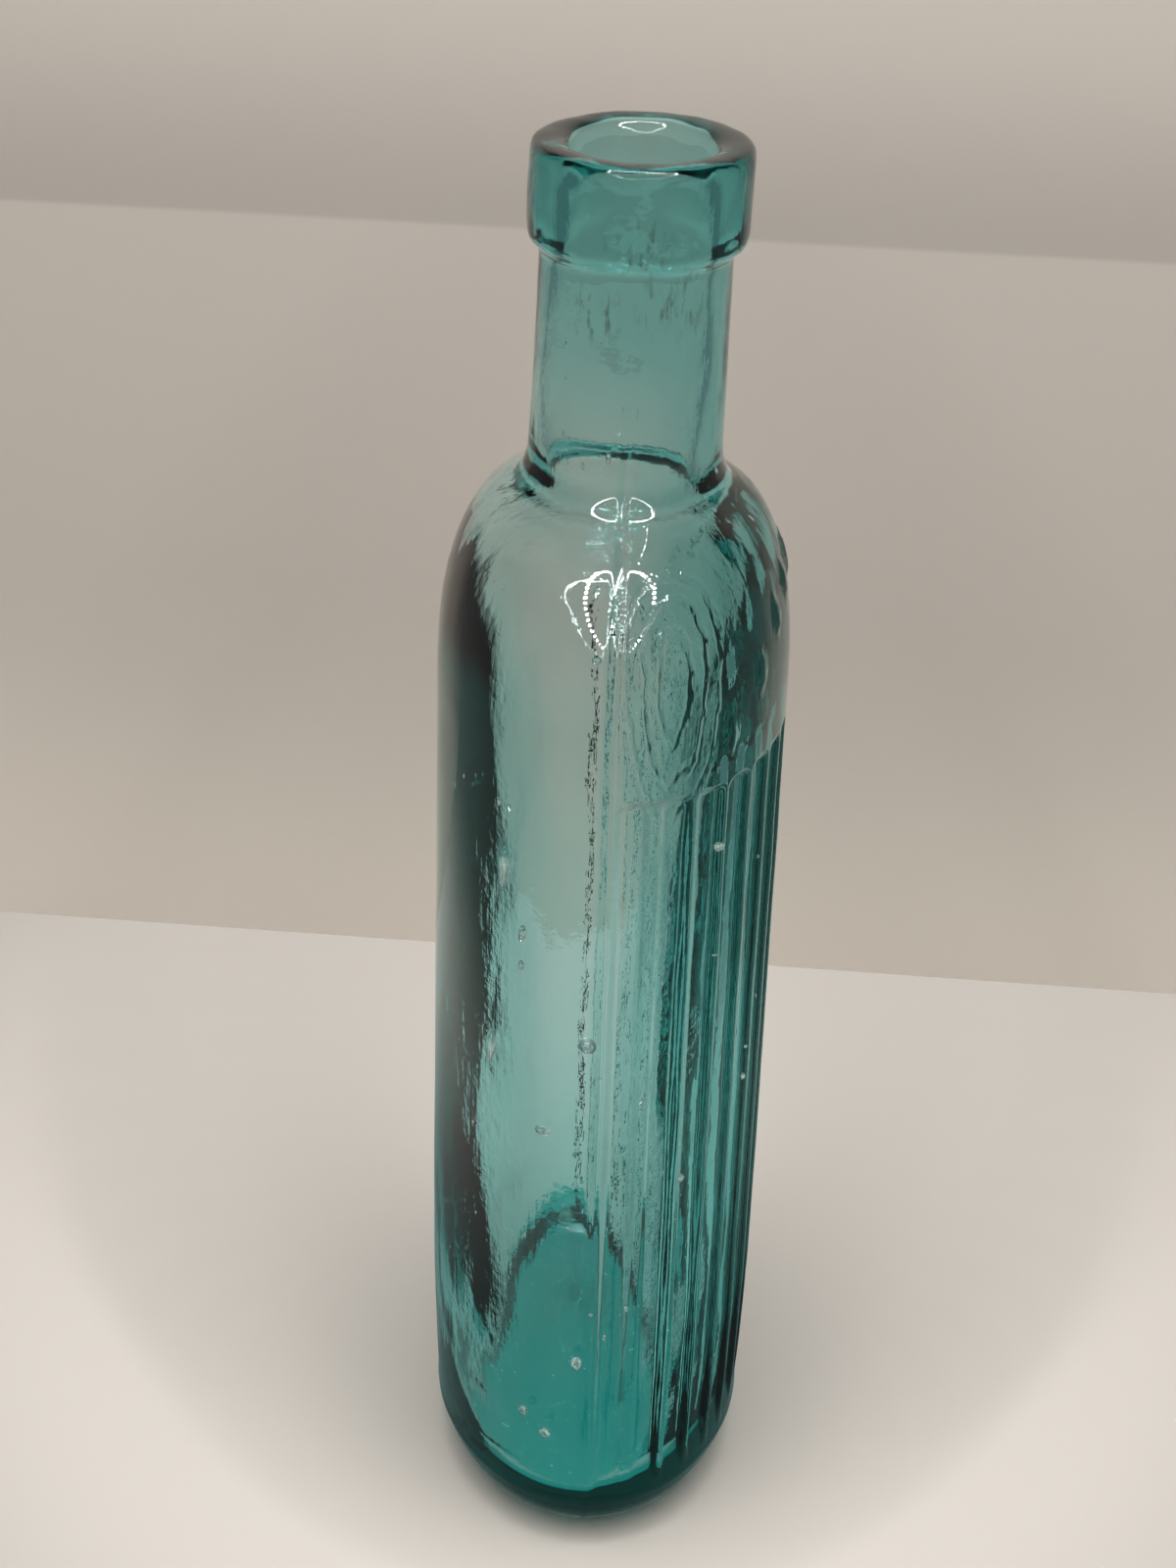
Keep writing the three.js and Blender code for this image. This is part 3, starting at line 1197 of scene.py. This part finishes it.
@dataclass
class Studio:
    """A pale sheet, a card behind the bottle, a ring of lamps overhead and a plain room. Metres."""

    floor_reach: float = 12.0
    floor_drop: float = 0.0002
    floor_colour: str = "#E8DFD5"
    card_colour: str = "#CEC6BD"
    backdrop: str = "#82827F"
    ceiling: str = "#434240"
    board_distance: float = 0.1325
    board_turn: float = math.radians(4.2)
    board_width: float = 1.2
    board_height: float = 0.8
    lamp_aim: tuple[float, float, float] = (-0.027, 0.0, 0.149)
    lamp_away: tuple[float, float, float] = (-0.50, 0.0, 0.864)
    lamp_distance: float = 0.5
    ring_width: float = 0.44
    ring_length: float = 0.70
    lamp_count: int = 52
    lamp_size: float = 0.022
    lamp_overhead: float = 0.85
    ring_power: float = 5.15
    room: str = "#383836"
    backdrop_top: tuple[float, float] = (0.2, 0.5)

    def build(self) -> None:
        """Makes the floor, the card behind the bottle, the lamps and the world."""
        floor = self.lay_floor()
        board = self.stand_board()
        self.light_ring()
        self.build_world()

    def lay_floor(self) -> bpy.types.Object:
        """Makes the floor.

        Returns:
            The floor.
        """
        bpy.ops.object.select_all(action="DESELECT")
        bpy.ops.mesh.primitive_plane_add(size=2 * self.floor_reach, location=(0, 0, -self.floor_drop))
        floor = bpy.context.object
        floor.name = "floor_sheet"
        paper = PaperFinish("pale_floor_paper", self.floor_colour)
        floor.data.materials.append(paper.build_floor(FloorLight(self.backdrop)))
        return floor

    def stand_board(self) -> bpy.types.Object:
        """Makes the card that stands behind the bottle.

        Returns:
            The card.
        """
        bpy.ops.object.select_all(action="DESELECT")
        bpy.ops.mesh.primitive_plane_add(size=1, location=(0, 0, 0))
        board = bpy.context.object
        board.name = "backdrop_card"
        board.matrix_world = (
            Matrix.Translation((self.board_distance, 0, self.board_height / 2))
            @ Matrix.Rotation(-self.board_turn, 4, "Z")
            @ Matrix.Rotation(-math.pi / 2, 4, "Y")
            @ Matrix.Diagonal((self.board_height, self.board_width, 1, 1))
        )
        bpy.ops.object.transform_apply()
        paper = PaperFinish("pale_card_paper", self.card_colour)
        board.data.materials.append(paper.build_card(CardLook()))
        return board

    def build_world(self) -> None:
        """Makes the room: dim to the scene, and plain grey where the camera sees it."""
        world = bpy.data.worlds.new("dim_room")
        bpy.context.scene.world = world
        world.use_nodes = True
        tree = world.node_tree
        tree.nodes.clear()
        room = add_node(tree, "ShaderNodeBackground", {"Color": linear(self.room), "Strength": 1.0})
        way = add_node(tree, "ShaderNodeTexCoord").outputs["Generated"]
        rise = add_node(tree, "ShaderNodeSeparateXYZ", None, {"Vector": way}).outputs["Z"]
        low, high = self.backdrop_top
        climb = add_node(
            tree, "ShaderNodeMapRange",
            {"interpolation_type": "SMOOTHSTEP", "From Min": low, "From Max": high}, {"Value": rise},
        )
        colour = add_node(
            tree, "ShaderNodeMix",
            {"data_type": "RGBA", 6: linear(self.backdrop), 7: linear(self.ceiling)}, {0: climb.outputs[0]},
        )
        shown = add_node(tree, "ShaderNodeBackground", {"Strength": 1.0}, {"Color": colour.outputs[2]})
        mixed = add_node(
            tree, "ShaderNodeMixShader", None,
            {0: seen_directly(tree), 1: room.outputs[0], 2: shown.outputs[0]},
        )
        add_node(tree, "ShaderNodeOutputWorld", None, {"Surface": mixed.outputs[0]})

    def light_ring(self) -> None:
        """Hangs a ring of small lamps from over the bottle to over the camera, facing the shoulder."""
        away = Vector(self.lamp_away).normalized()
        across = Vector((0, 1, 0))
        along = across.cross(away)
        middle = Vector(self.lamp_aim) + away * self.lamp_distance
        turns = [2 * math.pi * index / self.lamp_count for index in range(self.lamp_count)]
        shares = [1 + self.lamp_overhead * math.sin(turn) for turn in turns]
        for turn, share in zip(turns, shares):
            lamp = bpy.data.lights.new("ring_lamp", "AREA")
            lamp.shape = "DISK"
            lamp.size = self.lamp_size
            lamp.energy = self.ring_power * share / sum(shares)
            bulb = bpy.data.objects.new("ring_lamp", lamp)
            place = middle + across * (math.cos(turn) * self.ring_width / 2)
            place += along * (math.sin(turn) * self.ring_length / 2)
            facing = (place - Vector(self.lamp_aim)).to_track_quat("Z", "Y")
            bulb.matrix_world = Matrix.Translation(place) @ facing.to_matrix().to_4x4()
            bpy.context.scene.collection.objects.link(bulb)


@dataclass
class PhotoCamera:
    """The photograph's camera, worked out from the bottle's own outline. Metres."""

    lens: float = 66.2
    sensor: float = 36.0
    pitch: float = math.radians(28.209)
    yaw: float = math.radians(0.213)
    roll: float = math.radians(1.937)
    distance: float = 0.400846
    aim: tuple[float, float, float] = (0.0, 0.002805, 0.108919)
    nearest: float = 0.01
    farthest: float = 20.0

    def build(self) -> bpy.types.Object:
        """Makes the camera and gives it to the scene.

        Returns:
            The camera.
        """
        level = math.cos(self.pitch)
        forward = Vector((math.cos(self.yaw) * level, -math.sin(self.yaw) * level, -math.sin(self.pitch)))
        flat_right = Vector((-math.sin(self.yaw), -math.cos(self.yaw), 0))
        flat_up = flat_right.cross(forward)
        right = flat_right * math.cos(self.roll) + flat_up * math.sin(self.roll)
        upward = flat_up * math.cos(self.roll) - flat_right * math.sin(self.roll)
        data = bpy.data.cameras.new("photo_camera")
        data.lens = self.lens
        data.sensor_width = self.sensor
        data.clip_start = self.nearest
        data.clip_end = self.farthest
        camera = bpy.data.objects.new("photo_camera", data)
        turn = Matrix((right, upward, -forward)).transposed().to_4x4()
        camera.matrix_world = Matrix.Translation(Vector(self.aim) - forward * self.distance) @ turn
        bpy.context.scene.collection.objects.link(camera)
        bpy.context.scene.camera = camera
        return camera


@dataclass
class Bottle:
    """The whole bottle: body, lip and seeds in one piece of glass."""

    body: BlownBody = field(default_factory=BlownBody)
    lip: AppliedLip = field(default_factory=AppliedLip)
    seeds: Seeds = field(default_factory=Seeds)
    finish: GlassFinish = field(default_factory=GlassFinish)
    front_columns: int = 128
    back_columns: int = 48
    weight_steps: int = 500
    # Skin, length and height of each set of waves, in millimetres.
    waves: tuple[tuple[Skin, float, float], ...] = (
        (Skin.OUTSIDE, 14, 0.22), (Skin.INSIDE, 30, 1.0), (Skin.INSIDE, 10, 0.35), (Skin.INSIDE, 6, 0.3),
        (Skin.FRONT, 14, 1.6), (Skin.FLOOR, 12, 0.25), (Skin.CREASE, 3, 0.12), (Skin.BORE, 18, 0.7),
        (Skin.BORE, 5, 0.35), (Skin.LIP, 7, 0.45),
    )
    # Where the inside of the front takes its own waves: way to the front, and heights of foot and head.
    front_way: tuple[float, float] = (3.0, 10.0)
    front_foot: tuple[float, float] = (20.0, 40.0)
    front_head: tuple[float, float] = (116.0, 130.0)

    def build(self) -> bpy.types.Object:
        """Models the glass.

        Returns:
            The finished piece.
        """
        oval = Oval(self.body.half_width, self.body.half_depth)
        outline = oval.columns(self.front_columns, self.back_columns)
        cage = RingCage("bottle_glass", outline, self.body)
        rings = self.body.outside() + self.lip.levels() + self.body.inside()
        cage.start(rings[0])
        for ring in rings[1:]:
            cage.pull(ring)
        glass = cage.close()
        self.shape_skin(glass)
        self.seeds.build(glass, self.body)
        self.dress(glass)
        return glass

    def wave(self, glass: bpy.types.Object, skin: Skin, size: float, height: float) -> None:
        """Gives one skin a soft unevenness.

        Args:
            glass: the glass.
            skin: the skin to change.
            size: length of a wave, in millimetres.
            height: height of the waves, in millimetres.
        """
        texture = bpy.data.textures.new("uneven_glass", "CLOUDS")
        texture.noise_scale = size * MM
        texture.noise_depth = 1
        finish_with(
            glass, "DISPLACE", texture=texture, texture_coords="LOCAL", vertex_group=skin.value,
            strength=height * MM, mid_level=0.5,
        )

    def press(self, glass: bpy.types.Object, name: str, weights: np.ndarray, height: float) -> None:
        """Raises or sinks a pattern that is given as a weight for each point.

        Args:
            glass: the glass.
            name: what the pattern is.
            weights: from 0 to 1 for each point.
            height: how far to raise the points of weight 1, in millimetres. Less than 0 sinks them.
        """
        self.weigh(glass.vertex_groups.new(name=name), weights)
        finish_with(glass, "DISPLACE", vertex_group=name, strength=height * MM, mid_level=0.0)

    def weigh(self, group: bpy.types.VertexGroup, weights: np.ndarray) -> None:
        """Puts the points into a group, each with its weight.

        Args:
            group: the group to fill.
            weights: from 0 to 1 for each point.
        """
        steps = np.round(np.clip(weights, 0, 1) * self.weight_steps).astype(int)
        for step in np.unique(steps[steps > 0]):
            group.add(np.flatnonzero(steps == step).tolist(), step / self.weight_steps, "REPLACE")

    def shape_skin(self, glass: bpy.types.Object) -> None:
        """Makes the glass uneven, then presses the mould's pattern into it.

        Args:
            glass: the glass.
        """
        body = self.body
        skin = SkinMap(glass, body)
        outside = skin.outside > 0.5
        flutes = body.flute_weight(skin.arc, skin.height) * outside
        seam = np.exp(-(skin.along / body.seam_width) ** 2) * outside
        seam *= smooth(skin.height, *body.seam_foot) * (1 - smooth(skin.height, *body.seam_head))
        from_base_seam = (skin.height - body.base_seam) / body.base_seam_width
        base_seam = np.exp(-from_base_seam ** 2) * outside
        lozenges = self.lozenge_weights(skin) * outside
        front = skin.inside * smooth(-skin.along, *self.front_way)
        front *= smooth(skin.height, *self.front_foot) * (1 - smooth(skin.height, *self.front_head))
        self.weigh(glass.vertex_groups[Skin.FRONT.value], front)
        for side, size, height in self.waves:
            self.wave(glass, side, size, height)
        self.press(glass, "flutes", flutes, -body.flute_depth)
        self.press(glass, "seams", seam, body.seam_height)
        self.press(glass, "base_seam", base_seam, body.base_seam_height)
        self.press(glass, "lozenges", lozenges, body.lozenge_relief)

    def lozenge_weights(self, skin: SkinMap) -> np.ndarray:
        """Weights of the arch of plain lozenges over the front.

        Args:
            skin: the glass's points.

        Returns:
            A weight for each point.
        """
        body = self.body
        weights = np.zeros(len(skin.height))
        middle = Oval(body.half_width, body.half_depth).half_length() / 2
        for index in range(body.lozenge_count):
            offset = body.lozenge_reach * (2 * index / (body.lozenge_count - 1) - 1)
            height = body.lozenge_arch - body.lozenge_fall * offset * offset
            place, normal = skin.at(height, middle + offset)
            across = Vector((0, 0, 1)).cross(normal).normalized()
            upward = normal.cross(across)
            from_place = skin.points - np.array(place) / MM
            spread = np.abs(from_place @ np.array(across)) / body.lozenge_half_width
            climb = np.abs(from_place @ np.array(upward)) / body.lozenge_half_height
            near = np.linalg.norm(from_place, axis=1) < body.lozenge_limit
            raised = smooth(body.lozenge_fullness - spread - climb, 0, body.lozenge_slope)
            weights = np.maximum(weights, raised * near)
        return weights

    def mark_inside(self, glass: bpy.types.Object) -> None:
        """Stores how much each point belongs to the inside, where the glass cooled without a mould.

        Args:
            glass: the glass.
        """
        skins = (Skin.INSIDE, Skin.CREASE, Skin.BORE, Skin.FLOOR)
        groups = {glass.vertex_groups[skin.value].index for skin in skins}
        weights = []
        for vertex in glass.data.vertices:
            weights.append(sum(element.weight for element in vertex.groups if element.group in groups))
        attribute = glass.data.attributes.new(INSIDE, "FLOAT", "POINT")
        attribute.data.foreach_set("value", weights)

    def dress(self, glass: bpy.types.Object) -> None:
        """Gives the glass its finish and its place in the frame.

        Args:
            glass: the glass.
        """
        self.mark_inside(glass)
        glass.data.materials.clear()
        glass.data.materials.append(self.finish.build())
        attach(glass, "root")
        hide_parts("blown_body", "applied_lip")


def main() -> None:
    """Builds the scene in order and reports each piece."""
    logging.basicConfig(level=logging.INFO, format="%(message)s")
    scene = bpy.context.scene
    scene.view_settings.view_transform = "Standard"
    scene.cycles.max_bounces = LIGHT_BOUNCES
    scene.cycles.glossy_bounces = LIGHT_BOUNCES
    scene.cycles.transmission_bounces = LIGHT_BOUNCES
    scene.cycles.sample_clamp_indirect = 0
    PhotoCamera().build()
    Studio().build()
    glass = Bottle().build()
    triangles = sum(len(face.vertices) - 2 for face in glass.data.polygons)
    LOG.info("%s: %d triangles", glass.name, triangles)


if __name__ == "__main__":
    main()
